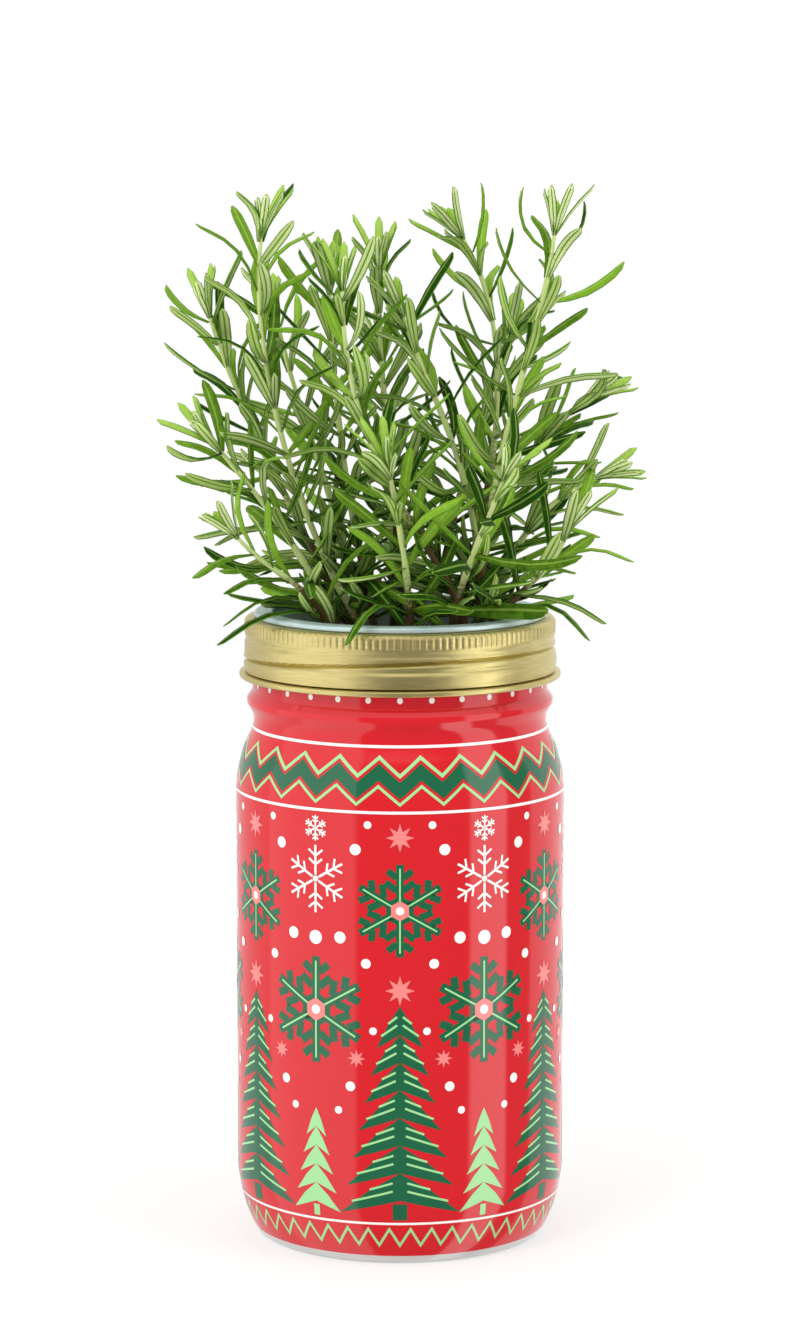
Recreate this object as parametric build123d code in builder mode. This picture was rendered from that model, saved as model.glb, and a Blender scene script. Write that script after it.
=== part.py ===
from build123d import *
import os
from math import cos, pi, radians, sin

import numpy as np

os.makedirs("parts", exist_ok=True)

# Glass jar, a quart size with a wide mouth. All sizes are in millimetres.
jar_height = 178.0
body_radius = 46.6
glass_wall = 3.2
floor_thickness = 5.0
push_up = 2.0
base_ring_inner = 35.0
base_ring_outer = 41.0
heel_rise = 11.0
heel_blend = 38.0
base_corner = 2.0
shoulder_start = 136.8
shoulder_blend = 33.0
recess_radius = 40.7
recess_height = 148.2
recess_blend = 6.0
bead_radius = 43.45
bead_height = 154.7
bead_land = 1.4
bead_fall = 2.2
neck_radius = 41.9
mouth_radius = 38.0
inner_corner = 4.5
inner_shoulder_blend = 10.0
lip_round = 1.2

# Printed film shrunk round the glass
film_gap = 0.05
film_thickness = 0.15
film_bottom = 2.7
film_top = 162.5

# Screw band, rolled from thin plate
plate = 0.4
seat_gap = 0.05
band_height = 17.2
band_radius = 44.3
band_lip_radius = 38.6
band_shoulder = 1.2
thread_top = 8.8
thread_pitch = 2.6
thread_depths = [1.0, 0.5]
thread_half = 1.1
foot_reach = 1.5
foot_height = 1.9
foot_round = 0.5

# Steel cup that hangs in the mouth
cup_depth = 64.0
cup_sheet = 0.8
cup_play = 1.0
cup_taper = 5.0
flange_radius = 41.5
flange_thickness = 1.6
flange_round = 0.7
wall_slot_count = 18
wall_slot_width = 3.6
wall_slot_height = 26.0
wall_slot_lift = 8.0
floor_hole_count = 12
floor_hole_radius = 1.9
floor_hole_circle = 20.0

# Growing medium and the felt strip that feeds it
soil_drop = 8.5
medium_play = 0.2
medium_edge = 1.5
wick_width = 16.0
wick_thickness = 2.6
wick_play = 0.25
wick_grip = 30.0
wick_floor_gap = 4.0

# Rosemary shoots
root_radius = 1.5
root_depth = 8.0
root_play = 0.15
collar = 1.5
tip_radius = 0.7
stem_sides = 5
stem_joints = 10
bare_height = 8.0
node_gap_low = 6.2
node_gap_tip = 5.2
leaf_length_low = 30.0
leaf_length_tip = 19.0
leaf_length_vary = 4.0
leaf_lean_low = 74.0
leaf_lean_tip = 36.0
leaf_lean_vary = 12.0
leaf_width = 2.8
leaf_thickness = 0.9
leaf_base_share = 0.42
leaf_widest = 0.42
leaf_bends = [0.3, 0.65]
leaf_arch = 0.1
leaf_clearance = 0.3
twist_per_node = 97.0
twist_per_shoot = 40.0
rim_clearance = 1.2

# Heights and radii that follow from the sizes above
band_top = jar_height + seat_gap + plate
flange_bottom = band_top + seat_gap
rim_height = flange_bottom + flange_thickness
cup_radius = mouth_radius - cup_play
cup_bottom_radius = cup_radius - cup_taper
cup_floor = rim_height - cup_depth
soil_height = rim_height - soil_drop
glass_floor = push_up + floor_thickness


def side_outline(grow):
    """Outside of the glass from the base corner to the lip, moved out by grow."""
    corners = [
        (base_ring_outer + grow, 0),
        (body_radius + grow, heel_rise),
        (body_radius + grow, shoulder_start),
        (recess_radius + grow, recess_height),
        (bead_radius + grow, bead_height - bead_land / 2),
        (bead_radius + grow, bead_height + bead_land / 2),
        (neck_radius + grow, bead_height + bead_land / 2 + bead_fall),
        (neck_radius + grow, jar_height),
    ]
    blends = [heel_blend, shoulder_blend, recess_blend, 0, 0, 0]
    return corners, blends


# Glass jar: one turned profile with a pushed-up base, a beaded neck and a rounded lip
with BuildPart() as glass_jar:
    with BuildSketch(Plane.XZ) as glass_profile:
        with BuildLine():
            outside, outside_blends = side_outline(0)
            base_step = (base_ring_inner, 0)
            base_rise = (base_ring_inner - push_up, push_up)
            under = FilletPolyline(
                (0, push_up),
                base_rise,
                base_step,
                *outside,
                radius=[0, 0, base_corner, *outside_blends],
            )
            inside = FilletPolyline(
                (mouth_radius, jar_height),
                (mouth_radius, recess_height),
                (body_radius - glass_wall, shoulder_start - glass_wall),
                (body_radius - glass_wall, glass_floor),
                (0, glass_floor),
                radius=[inner_shoulder_blend, inner_shoulder_blend, inner_corner],
            )
            Line(under @ 1, inside @ 0)
            Line(inside @ 1, under @ 0)
        make_face()
        lip_corners = glass_profile.vertices().group_by(Axis.Y)[-1]
        fillet(lip_corners, lip_round)
    revolve(axis=Axis.Z)
glass_jar.part.label = "glass_jar"
export_step(glass_jar.part, "parts/glass_jar.step")

# Printed sleeve: a thin film that follows the glass from the heel to under the band
with BuildPart() as printed_sleeve:
    with BuildSketch(Plane.XZ):
        with BuildLine():
            inner_corners, film_blends = side_outline(film_gap)
            outer_corners, film_blends = side_outline(film_gap + film_thickness)
            film_inside = FilletPolyline(*inner_corners, radius=film_blends)
            film_outside = FilletPolyline(*outer_corners, radius=film_blends)
            Line(film_inside @ 0, film_outside @ 0)
            Line(film_inside @ 1, film_outside @ 1)
        make_face()
        with Locations((0, film_bottom)):
            Rectangle(
                2 * body_radius,
                film_top - film_bottom,
                align=(Align.MIN, Align.MIN),
                mode=Mode.INTERSECT,
            )
    revolve(axis=Axis.Z)
printed_sleeve.part.label = "printed_sleeve"
export_step(printed_sleeve.part, "parts/printed_sleeve.step")

# Screw band: one bent plate with a lip, a bevelled shoulder, two rolled grooves and a curled foot
band_foot = band_top - band_height
band_inside = band_radius - plate
foot_radius = band_radius + foot_reach
outer_wall = []
inner_wall = []
for i, depth in enumerate(thread_depths):
    groove = band_top - thread_top - thread_pitch * i
    for height, cut in ((groove + thread_half, 0), (groove, depth), (groove - thread_half, 0)):
        outer_wall.append((band_radius - cut, height))
        inner_wall.append((band_inside - cut, height))
with BuildPart() as screw_band:
    with BuildSketch(Plane.XZ):
        with BuildLine():
            Polyline(
                (band_lip_radius, band_top),
                (band_radius - band_shoulder, band_top),
                (band_radius, band_top - band_shoulder),
                *outer_wall,
                (band_radius, band_foot + foot_height),
                (foot_radius, band_foot + foot_height - foot_round),
                (foot_radius, band_foot + foot_round),
                (foot_radius - foot_round, band_foot),
                (band_inside, band_foot),
                *reversed(inner_wall),
                (band_inside, band_top - band_shoulder),
                (band_radius - band_shoulder, band_top - plate),
                (band_lip_radius, band_top - plate),
                close=True,
            )
        make_face()
    revolve(axis=Axis.Z)
screw_band.part.label = "screw_band"
export_step(screw_band.part, "parts/screw_band.step")

# Net cup: flange with a rolled edge, tapered wall with tall slots, pierced floor
with BuildPart() as net_cup:
    with BuildSketch(Plane.XZ) as cup_profile:
        with BuildLine():
            Polyline(
                (0, cup_floor),
                (cup_bottom_radius, cup_floor),
                (cup_radius, flange_bottom),
                (flange_radius, flange_bottom),
                (flange_radius, rim_height),
                (cup_radius - cup_sheet, rim_height),
                (cup_bottom_radius - cup_sheet, cup_floor + cup_sheet),
                (0, cup_floor + cup_sheet),
                close=True,
            )
        make_face()
        rim_corners = cup_profile.vertices().group_by(Axis.Y)[-1]
        fillet(rim_corners, flange_round)
    revolve(axis=Axis.Z)
    slot_middle = cup_floor + wall_slot_lift + wall_slot_height / 2
    slot_turns = [2 * pi * i / wall_slot_count for i in range(wall_slot_count)]
    slot_planes = [
        Plane((0, 0, slot_middle), x_dir=(-sin(a), cos(a), 0), z_dir=(cos(a), sin(a), 0))
        for a in slot_turns
    ]
    with BuildSketch(*slot_planes):
        SlotOverall(wall_slot_height, wall_slot_width, rotation=90)
    extrude(amount=cup_radius, mode=Mode.SUBTRACT)
    with BuildSketch(Plane.XY.offset(cup_floor)):
        with PolarLocations(floor_hole_circle, floor_hole_count):
            Circle(floor_hole_radius)
        Rectangle(wick_width + 2 * wick_play, wick_thickness + 2 * wick_play)
    extrude(amount=cup_sheet, mode=Mode.SUBTRACT)
net_cup.part.label = "net_cup"
export_step(net_cup.part, "parts/net_cup.step")

# Where each shoot grows: root on the soil, two points that bend it, and its tip.
# Each is x, y and height above the soil, with the front towards -Y.
shoot_paths = [
    ((-9, 1), (-26, 2, 26), (-43, -3, 75), (-39, -3, 114)),
    ((-13, 7), (-27, 8, 30), (-44, 8, 60), (-54, 8, 91)),
    ((-16, -7), (-24, -9, 22), (-39, -13, 42), (-52, -15, 57)),
    ((19, -12), (19, -15, 24), (-16, -22, 44), (-16, -20, 100)),
    ((-7, 11), (-12, 12, 24), (-20, 13, 64), (-20, 13, 100)),
    ((22, 0), (26, 0, 44), (8, -5, 69), (1, -6, 92)),
    ((14, 11), (26, 13, 34), (36, 14, 84), (18, 12, 113)),
    ((22, -7), (22, -9, 49), (40, -12, 86), (43, -10, 115)),
    ((25, -15), (29, -17, 17), (41, -21, 17), (47, -23, 34)),
    ((17, 20), (22, 23, 36), (37, 25, 52), (53, 25, 66)),
    ((26, 7), (29, 8, 27), (42, 11, 39), (56, 12, 45)),
    ((0, 17), (0, 19, 36), (-7, 22, 74), (-6, 20, 104)),
    ((3, -22), (3, -26, 20), (0, -33, 34), (-3, -37, 52)),
    ((-12, 20), (-16, 26, 36), (-31, 36, 62), (-36, 39, 90)),
    ((10, 25), (14, 31, 36), (26, 41, 62), (32, 44, 84)),
    ((-2, 27), (-2, 35, 30), (-5, 47, 54), (-5, 52, 76)),
    ((-18, -16), (-22, -20, 18), (-35, -24, 20), (-45, -28, 32)),
    ((14, -22), (16, -26, 22), (23, -40, 34), (28, -48, 50)),
]

# Long low leaves that lie over the rim: shoot, height on it, tip as above, and arch
low_leaves = [
    (8, 9, (53, -25, 3), 0.28),
    (12, 10, (-15, -50, 5), 0.24),
    (2, 10, (-50, -9, 5), 0.22),
    (17, 10, (38, -31, 11), 0.06),
]
soil_radius = cup_radius - cup_sheet - medium_play
root_places = [root for root, *bends in shoot_paths]
wick_foot = glass_floor + wick_floor_gap
wick_head = cup_floor + cup_sheet + wick_grip

# Growing medium: a coir plug moulded to the cup, slotted for the strip and dibbled for the roots
with BuildPart() as grow_medium:
    with BuildSketch(Plane.XZ) as plug_profile:
        plug_floor = cup_floor + cup_sheet + seat_gap
        wall_lean = cup_taper / (flange_bottom - cup_floor)
        plug_foot = cup_bottom_radius - cup_sheet - medium_play
        plug_top = plug_foot + wall_lean * (soil_height - plug_floor)
        with BuildLine():
            Polyline(
                (0, plug_floor),
                (plug_foot, plug_floor),
                (plug_top, soil_height),
                (0, soil_height),
                close=True,
            )
        make_face()
        outer_edge = plug_profile.vertices().sort_by(Axis.X)[-1]
        chamfer(outer_edge, medium_edge)
    revolve(axis=Axis.Z)
    with BuildSketch(Plane.XY.offset(plug_floor)):
        Rectangle(wick_width + 2 * wick_play, wick_thickness + 2 * wick_play)
    extrude(amount=wick_grip, mode=Mode.SUBTRACT)
    with BuildSketch(Plane.XY.offset(soil_height)):
        with Locations(*root_places):
            Circle(root_radius + root_play)
    extrude(amount=-root_depth, mode=Mode.SUBTRACT)
grow_medium.part.label = "grow_medium"
export_step(grow_medium.part, "parts/grow_medium.step")

# Felt wick: a flat strip from inside the plug down to just above the glass floor
with BuildPart() as felt_wick:
    with BuildSketch(Plane.XZ.offset(-wick_thickness / 2)) as strip:
        with Locations((0, (wick_foot + wick_head) / 2)):
            Rectangle(wick_width, wick_head - wick_foot)
        fillet(strip.vertices().group_by(Axis.Y)[0], wick_width / 8)
    extrude(amount=wick_thickness)
felt_wick.part.label = "felt_wick"
export_step(felt_wick.part, "parts/felt_wick.step")


def shoot_curve(path):
    """The four bend points of a shoot, as vectors in the jar's frame."""
    (root_x, root_y), *bends = path
    start = Vector(root_x, root_y, soil_height + collar)
    return [start] + [Vector(x, y, soil_height + rise) for x, y, rise in bends]


def along(curve, t):
    """Point and direction of growth at the share t of a shoot's curve."""
    a, b, c, d = curve
    s = 1 - t
    point = a * s**3 + b * (3 * s * s * t) + c * (3 * s * t * t) + d * t**3
    heading = (b - a) * (s * s) + (c - b) * (2 * s * t) + (d - c) * (t * t)
    return point, heading.normalized()


def as_array(points):
    """Points as an array, for measuring distances."""
    return np.array([tuple(point) for point in points])


curves = [shoot_curve(path) for path in shoot_paths]
stem_shares = np.linspace(0, 1, 41)
leaf_shares = np.linspace(0, 1, 13)
stem_lines = [as_array([along(curve, t)[0] for t in stem_shares]) for curve in curves]
leaf_foot = leaf_shares < 0.3


def leaf_line(leaf):
    """Points along the middle of a leaf, which arches towards its lift."""
    base, heading, lift, length, arch = leaf
    shares = [float(s) for s in leaf_shares]
    return as_array([base + (heading * s + lift * (arch * sin(pi * s))) * length for s in shares])


def clears_rim(line):
    """Whether a leaf passes over the soil, the flange and the band without touching them."""
    reach = np.hypot(line[:, 0], line[:, 1])
    over_soil = reach < soil_radius - cup_sheet - leaf_width
    over_jar = reach < band_radius + rim_clearance + leaf_width / 2
    lowest = np.where(over_soil, soil_height, rim_height) + rim_clearance
    return not np.any(over_jar & (line[:, 2] < lowest))


def nearest(line, others):
    """The least distance between two sets of points."""
    return np.linalg.norm(line[:, None] - others[None], axis=2).min() if len(others) else np.inf


def is_free(line, owner, taken):
    """Whether a leaf keeps clear of all other leaves and of the stems of the other shoots."""
    for number, stem in enumerate(stem_lines):
        if number != owner and nearest(line, stem) < leaf_width / 2 + root_radius + leaf_clearance:
            return False
    for other, other_line in taken:
        free_parts = (line, other_line) if other != owner else (line[~leaf_foot], other_line[~leaf_foot])
        if nearest(*free_parts) < leaf_width + leaf_clearance:
            return False
    return True


def place_leaf(owner, base, axis, side, lean, length, arch, taken):
    """The first of a few leans and lengths at which the leaf is clear, or nothing."""
    for shift, share in ((0, 1), (-12, 0.95), (12, 0.9), (-22, 0.8), (0, 0.65), (-28, 0.55)):
        angle = radians(lean + shift)
        heading = (axis * cos(angle) + side * sin(angle)).normalized()
        lift = (axis * sin(angle) - side * cos(angle)).normalized()
        leaf = (base, heading, lift, length * share, arch)
        line = leaf_line(leaf)
        if clears_rim(line) and is_free(line, owner, taken):
            taken.append((owner, line))
            return leaf
    return None


def stem_at(number, station):
    """Point, direction and share at a distance up a shoot."""
    steps = np.linalg.norm(np.diff(stem_lines[number], axis=0), axis=1)
    run = np.concatenate(([0], np.cumsum(steps)))
    t = float(np.interp(station, run, stem_shares))
    point, axis = along(curves[number], t)
    return point, axis, station / run[-1]


def lay_low_leaf(owner, station, tip, arch, taken):
    """A long low leaf from its shoot to a tip beyond the rim."""
    base, axis, share = stem_at(owner, station)
    end = Vector(tip[0], tip[1], soil_height + tip[2])
    heading = (end - base).normalized()
    lift = heading.cross(Vector(0, 0, 1)).cross(heading).normalized()
    leaf = (base, heading, lift, (end - base).length, arch)
    taken.append((owner, leaf_line(leaf)))
    return leaf


def grow_leaves(number, taken):
    """Crossed pairs of leaves up one shoot, shorter and more upright towards its tip."""
    leaves = []
    station = bare_height
    node = 0
    point, axis, share = stem_at(number, station)
    while share < 1:
        turn = radians(twist_per_node * node + twist_per_shoot * number)
        first = axis.cross(Vector(0, 1, 0)).normalized()
        second = axis.cross(first)
        vary = sin(1.7 * node + 2.3 * number)
        lean = leaf_lean_low + (leaf_lean_tip - leaf_lean_low) * share + leaf_lean_vary * vary
        length = leaf_length_low + (leaf_length_tip - leaf_length_low) * share
        length += leaf_length_vary * vary
        arch = leaf_arch * (0.5 + cos(2.9 * node + number))
        for half_turn in (0, pi):
            side = first * cos(turn + half_turn) + second * sin(turn + half_turn)
            base = point + side * (tip_radius / 2)
            leaf = place_leaf(number, base, axis, side, lean, length, arch, taken)
            if leaf:
                leaves.append(leaf)
        station += node_gap_low + (node_gap_tip - node_gap_low) * share
        node += 1
        point, axis, share = stem_at(number, station)
    return leaves


def leaf_blade(base, heading, lift, length, arch):
    """One needle: its arched side view, cut to its pointed plan."""
    across = heading.cross(lift)
    half = leaf_width / 2
    middle = leaf_widest * length
    crown = [(share * length, arch * length * sin(pi * share)) for share in leaf_bends]
    belly = [(run, rise - leaf_thickness) for run, rise in reversed(crown)]
    foot = (0, -leaf_thickness * leaf_base_share)
    with BuildPart() as blade:
        with BuildSketch(Plane(base, x_dir=heading, z_dir=across)):
            Polygon((0, 0), *crown, (length, 0), *belly, foot, align=None)
        extrude(amount=half, both=True, clean=False)
        with BuildSketch(Plane(base, x_dir=heading, z_dir=lift)):
            Polygon(
                (0, half * leaf_base_share),
                (middle, half),
                (length, 0),
                (middle, -half),
                (0, -half * leaf_base_share),
                align=None,
            )
        extrude(amount=length, both=True, clean=False, mode=Mode.INTERSECT)
    return blade.part


# Rosemary: each rooted shoot is a jointed woody stem with crossed pairs of needles up to its tip
taken = []
for low_leaf in low_leaves:
    lay_low_leaf(*low_leaf, taken)
for number, (path, curve) in enumerate(zip(shoot_paths, curves)):
    leaves = [lay_low_leaf(*low_leaf, []) for low_leaf in low_leaves if low_leaf[0] == number]
    leaves += grow_leaves(number, taken)
    blades = [leaf_blade(*leaf) for leaf in leaves]
    chord = (curve[-1] - curve[0]).normalized()
    joints = [along(curve, i / stem_joints)[0] for i in range(stem_joints + 1)]
    with BuildPart() as stem:
        with BuildSketch(Plane((*path[0], soil_height - root_depth))):
            RegularPolygon(root_radius, stem_sides)
        extrude(amount=root_depth + 2 * collar)
        for i, (joint, upper) in enumerate(zip(joints, joints[1:])):
            with BuildSketch(Plane(joint, z_dir=chord)):
                RegularPolygon(root_radius + (tip_radius - root_radius) * i / stem_joints, stem_sides)
            extrude(amount=(upper - joint).length, dir=upper - joint)
    shoot = stem.part.fuse(*blades)
    shoot.label = f"rosemary_stem_{number + 1:02d}"
    export_step(shoot, f"parts/{shoot.label}.step")
    print(shoot.label, "leaves", len(leaves), "solids", len(shoot.solids()))
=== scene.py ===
import math
import random

import bmesh
import bpy
import numpy as np
from mathutils import Matrix, Vector, noise


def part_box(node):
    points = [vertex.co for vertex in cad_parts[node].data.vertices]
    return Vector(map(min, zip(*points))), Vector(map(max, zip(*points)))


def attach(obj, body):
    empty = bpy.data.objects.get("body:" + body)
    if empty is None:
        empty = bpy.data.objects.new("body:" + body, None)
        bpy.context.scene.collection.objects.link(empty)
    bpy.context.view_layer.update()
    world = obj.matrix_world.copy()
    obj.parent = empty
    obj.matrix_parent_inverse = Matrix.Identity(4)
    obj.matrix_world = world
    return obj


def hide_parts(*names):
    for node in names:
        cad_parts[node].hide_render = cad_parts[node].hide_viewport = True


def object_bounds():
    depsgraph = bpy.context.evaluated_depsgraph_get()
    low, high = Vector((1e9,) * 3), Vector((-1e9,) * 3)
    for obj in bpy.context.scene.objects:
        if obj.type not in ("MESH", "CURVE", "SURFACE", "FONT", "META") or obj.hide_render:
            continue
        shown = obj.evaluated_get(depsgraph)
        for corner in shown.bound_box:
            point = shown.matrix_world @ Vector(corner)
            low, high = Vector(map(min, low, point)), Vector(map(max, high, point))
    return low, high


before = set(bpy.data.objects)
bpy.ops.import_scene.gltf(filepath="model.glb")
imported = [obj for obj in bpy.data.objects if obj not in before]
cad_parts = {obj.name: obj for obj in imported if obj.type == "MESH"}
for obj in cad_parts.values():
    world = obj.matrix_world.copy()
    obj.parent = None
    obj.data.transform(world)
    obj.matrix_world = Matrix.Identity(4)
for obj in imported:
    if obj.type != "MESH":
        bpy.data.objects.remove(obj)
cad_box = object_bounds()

# Glass jar
# A quart canning jar of clear soda-lime glass, blown in a two-part mould. Its base is pushed up, a bead
# runs round under the neck and the lip is fire-polished. It carries everything else.
metre = 0.001            # meshes are drawn in millimetres and scaled to metres when they are done
glass_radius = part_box("glass_jar")[1].x / metre
glass_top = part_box("glass_jar")[1].z / metre
foot_line = [(0, 2), (33, 2), (35, 0)]
side_line = [
    (41, 0),
    (glass_radius, 11),
    (glass_radius, 136.8),
    (40.7, 149.2),
    (43.45, 154),
    (43.45, 155.4),
    (41.9, 157.6),
    (41.9, glass_top),
]
side_rounds = [2, 38, 33, 6, 0.7, 0.7, 1]
inside_line = [(38, glass_top), (38, 148.2), (43.4, 133.6), (43.4, 7), (0, 7)]
inside_rounds = [1.2, 1.2, 10, 10, 4.5]
arc_steps = 8
glass_steps = 192


def line_of(corners, rounds, closed=False):
    """A bmesh line through corners of radius and height, with each corner that rounds names made an arc."""
    bm = bmesh.new()
    verts = [bm.verts.new((radius, 0, height)) for radius, height in corners]
    ends = verts[1:] + verts[:1] if closed else verts[1:]
    for start, end in zip(verts, ends):
        bm.edges.new((start, end))
    places = [vert.co.copy() for vert in verts]
    for i, radius in rounds.items():
        turn = (places[i] - places[i - 1]).angle(places[(i + 1) % len(places)] - places[i])
        bmesh.ops.bevel(
            bm,
            geom=[verts[i]],
            offset=radius * math.tan(turn / 2),
            offset_type="OFFSET",
            segments=arc_steps,
            profile=0.5,
            affect="VERTICES",
            material=-1,
        )
    return bm


def turn_about_axis(bm, steps):
    """Spins a line about the jar's axis into a closed skin that faces outwards."""
    line = bm.verts[:] + bm.edges[:]
    bmesh.ops.spin(bm, geom=line, axis=(0, 0, 1), angle=math.tau, steps=steps, use_merge=True)
    bmesh.ops.remove_doubles(bm, verts=bm.verts[:], dist=0.0005)
    bmesh.ops.recalc_face_normals(bm, faces=bm.faces[:])


def add_piece(name, bm, materials, body, nodes=(), crease=35):
    """Makes a finished bmesh a piece that rides on a body and takes the place of some nodes."""
    bmesh.ops.scale(bm, vec=(metre, metre, metre), verts=bm.verts[:])
    mesh = bpy.data.meshes.new(name)
    bm.to_mesh(mesh)
    bm.free()
    mesh.shade_smooth()
    mesh.set_sharp_from_angle(angle=math.radians(crease))
    for material in materials:
        mesh.materials.append(material)
    piece = bpy.data.objects.new(name, mesh)
    bpy.context.collection.objects.link(piece)
    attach(piece, body)
    if nodes:
        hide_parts(*nodes)
    return piece


def colour(code):
    """An sRGB hex code as linear red, green, blue and alpha."""
    shares = [int(code[i : i + 2], 16) / 255 for i in (0, 2, 4)]
    return [s / 12.92 if s <= 0.04045 else ((s + 0.055) / 1.055) ** 2.4 for s in shares] + [1]


def new_finish(name, sockets):
    """A material with its shader's sockets set. Returns the material and the shader."""
    material = bpy.data.materials.new(name)
    material.use_nodes = True
    shader = material.node_tree.nodes["Principled BSDF"]
    for socket, value in sockets.items():
        shader.inputs[socket].default_value = value
    return material, shader


def node(owner, kind, inputs, **settings):
    """Adds a node to a material or world: its settings, then its input values and links."""
    made = owner.node_tree.nodes.new(kind)
    for setting, value in settings.items():
        setattr(made, setting, value)
    for socket, value in inputs.items():
        if isinstance(value, bpy.types.NodeSocket):
            owner.node_tree.links.new(value, made.inputs[socket])
        else:
            made.inputs[socket].default_value = value
    return made


# Clear soda-lime glass: smooth and bright, with the faint slow waves that a blow mould leaves.
# The ring that it stands on is stippled, so that it scatters light and looks greyish white.
clear_glass, glass_shader = new_finish(
    "clear_soda_lime_glass",
    {
        "Base Color": colour("F3F6F4"),
        "Roughness": 0.02,
        "IOR": 1.52,
    },
)
mould_wave_width = 14 * metre
glass_place = node(clear_glass, "ShaderNodeTexCoord", {})
glass_wave = node(
    clear_glass,
    "ShaderNodeTexNoise",
    {"Vector": glass_place.outputs["Object"], "Scale": 1 / mould_wave_width, "Detail": 1.0},
)
glass_bump = node(
    clear_glass,
    "ShaderNodeBump",
    {"Height": glass_wave.outputs[0], "Strength": 0.3, "Distance": 0.3 * metre},
)
foot_stipple_top = 3.2 * metre
glass_split = node(clear_glass, "ShaderNodeSeparateXYZ", {0: glass_place.outputs["Object"]})
glass_clarity = node(
    clear_glass,
    "ShaderNodeMapRange",
    {
        "Value": glass_split.outputs["Z"],
        "From Min": foot_stipple_top,
        "From Max": foot_stipple_top + 2 * metre,
        "To Min": 0.3,
        "To Max": 1.0,
    },
)
clear_glass.node_tree.links.new(glass_clarity.outputs[0], glass_shader.inputs["Transmission Weight"])
clear_glass.node_tree.links.new(glass_bump.outputs[0], glass_shader.inputs["Normal"])

glass_rounds = dict(enumerate(side_rounds + inside_rounds, start=len(foot_line)))
glass = line_of(foot_line + side_line + inside_line, glass_rounds)
turn_about_axis(glass, glass_steps)
add_piece("glass_jar_body", glass, [clear_glass], "jar", ["glass_jar"])

# Printed film
# A thin glossy film, printed red and shrunk tight round the glass from the heel to under the band.
# It follows the bead and the neck, and leaves the foot of the glass clear.
film_stand = 0.2
film_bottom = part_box("printed_sleeve")[0].z / metre
film_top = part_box("printed_sleeve")[1].z / metre
film_radius = glass_radius + film_stand
film_thickness = 0.15
film_steps = 256
film = line_of([(r + film_stand, z) for r, z in side_line], dict(enumerate(side_rounds[1:], start=1)))
for height, side in ((film_bottom, -1), (film_top, 1)):
    bmesh.ops.bisect_plane(
        film,
        geom=film.verts[:] + film.edges[:],
        plane_co=(0, 0, height),
        plane_no=(0, 0, side),
        clear_outer=True,
    )
film_side = sorted((vert.co.z, vert.co.x) for vert in film.verts)
film_heights, film_radii = np.transpose(film_side)
turn_about_axis(film, film_steps)
bmesh.ops.solidify(film, geom=film.faces[:], thickness=film_thickness)


def printed_gloss(name, code, mottle_code):
    """Ink under a glossy film: an even colour with a slight mottle, and a smooth clear surface."""
    material, shader = new_finish(name, {"Roughness": 0.09, "IOR": 1.5})
    mottle_width = 9 * metre
    place = node(material, "ShaderNodeTexCoord", {})
    mottle = node(
        material,
        "ShaderNodeTexNoise",
        {"Vector": place.outputs["Object"], "Scale": 1 / mottle_width, "Detail": 3.0},
    )
    ink = node(
        material,
        "ShaderNodeMix",
        {0: mottle.outputs[0], 6: colour(code), 7: colour(mottle_code)},
        data_type="RGBA",
    )
    pull_width = 26 * metre
    pull = node(
        material,
        "ShaderNodeTexNoise",
        {"Vector": place.outputs["Object"], "Scale": 1 / pull_width, "Detail": 0.0},
    )
    bump = node(
        material,
        "ShaderNodeBump",
        {"Height": pull.outputs[0], "Strength": 0.25, "Distance": 0.3 * metre},
    )
    material.node_tree.links.new(ink.outputs[2], shader.inputs["Base Color"])
    material.node_tree.links.new(bump.outputs[0], shader.inputs["Normal"])
    return material


red_film = printed_gloss("red_printed_film", "D0131F", "CE1722")
add_piece("printed_sleeve_film", film, [red_film], "jar", ["printed_sleeve"])

# Firs, ice crystals and chevrons in dark green ink
# The print repeats in six bays round the film. Dark green gives the tall firs of the frieze with their
# open tiers of boughs, the big ice crystals over them and the chevrons of the shoulder border.
bays = 6
bay = math.tau * film_radius / bays
frieze_foot = 15
tall_fir = (0, 60, 34, 7)
crystals = [(0.5, 73, 15), (0, 102, 13)]
border_low = 131
border_high = 146
chevrons_per_bay = 4
chevron_width = bay / chevrons_per_bay
chevron_lefts = [i * chevron_width - bay / 2 for i in range(chevrons_per_bay)]
chevron_rise = 5
bough_gap = 1.0
barb_lean = math.radians(52)
facet_width = 2.0
facet_height = 1.0
straight_low = 21
straight_high = 126
ink_thickness = 0.02


def lay_face(bm, points):
    """One flat face of ink through points round the film and up it."""
    return bm.faces.new([bm.verts.new((x, y, 0)) for x, y in points])


def fir_tiers(height, width, tiers):
    """Crown, bough tip, notch and reach of each tier of a fir, from its top down."""
    step = height / (tiers + 0.6)
    for i in range(tiers):
        crown = frieze_foot + height - step * i
        reach = width / 2 * (0.28 + 0.72 * (i + 1) / tiers)
        yield crown, crown - step * 1.5, crown - step, reach


def lay_fir(bm, middle, height, width, tiers):
    """A fir of chevron boughs on a short trunk."""
    for crown, tip, notch, reach in fir_tiers(height, width, tiers):
        bough = [(0, crown), (0, notch), (reach, tip), (reach * 0.5, crown + (tip - crown) * 0.42)]
        for hand in (-1, 1):
            lay_face(bm, [(middle + hand * x, y) for x, y in bough])
    trunk = width * 0.06
    trunk_top = notch - bough_gap
    corners = [(-trunk, frieze_foot - 1), (trunk, frieze_foot - 1), (trunk, trunk_top), (-trunk, trunk_top)]
    lay_face(bm, [(middle + x, y) for x, y in corners])


def lay_strip(bm, start, end, width):
    """A straight stroke of ink."""
    start = Vector((*start, 0))
    end = Vector((*end, 0))
    side = (end - start).cross(Vector((0, 0, 1))).normalized() * width / 2
    lay_face(bm, [(p.x, p.y) for p in (start + side, end + side, end - side, start - side)])


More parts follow.
